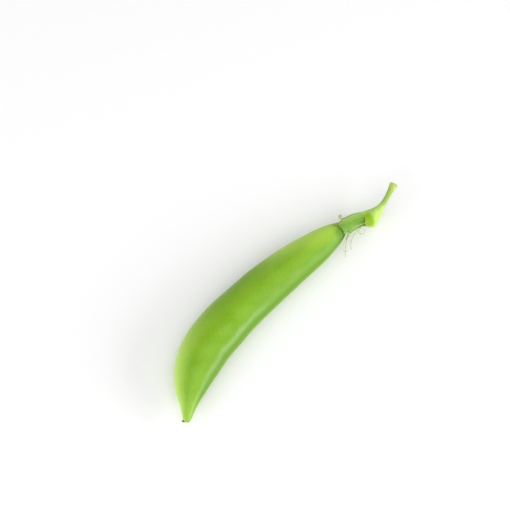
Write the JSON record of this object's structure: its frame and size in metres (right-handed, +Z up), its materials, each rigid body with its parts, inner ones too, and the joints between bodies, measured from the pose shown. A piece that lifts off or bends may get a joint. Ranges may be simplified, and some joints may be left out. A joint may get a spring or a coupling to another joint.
{
  "type": "sugar snap pea pod",
  "caption": "Whole sugar snap pea pod, picked with its calyx, withered stamens and short stalk, lying flat on one broad side.",
  "frame": {"origin": "below the middle of the box of the whole object, on the surface that the pod lies on", "axes": "+X from the tip of the pod to the cut end of the stalk, +Y towards the convex back of the pod, +Z up from the surface that it lies on"},
  "size_m": [0.0974, 0.0208, 0.0104],
  "materials": {
    "pod_skin": "waxy satin plant skin",
    "calyx_green": "matt leaf with fine lengthwise veins",
    "stalk_green": "smooth satin stem with a dry cut end",
    "withered_straw": "dry papery threads"
  },
  "bodies": {
    "root": {"pod": "pod_skin", "calyx": "calyx_green", "stalk": "stalk_green", "withered_stamens": "withered_straw"}
  },
  "joints": []
}
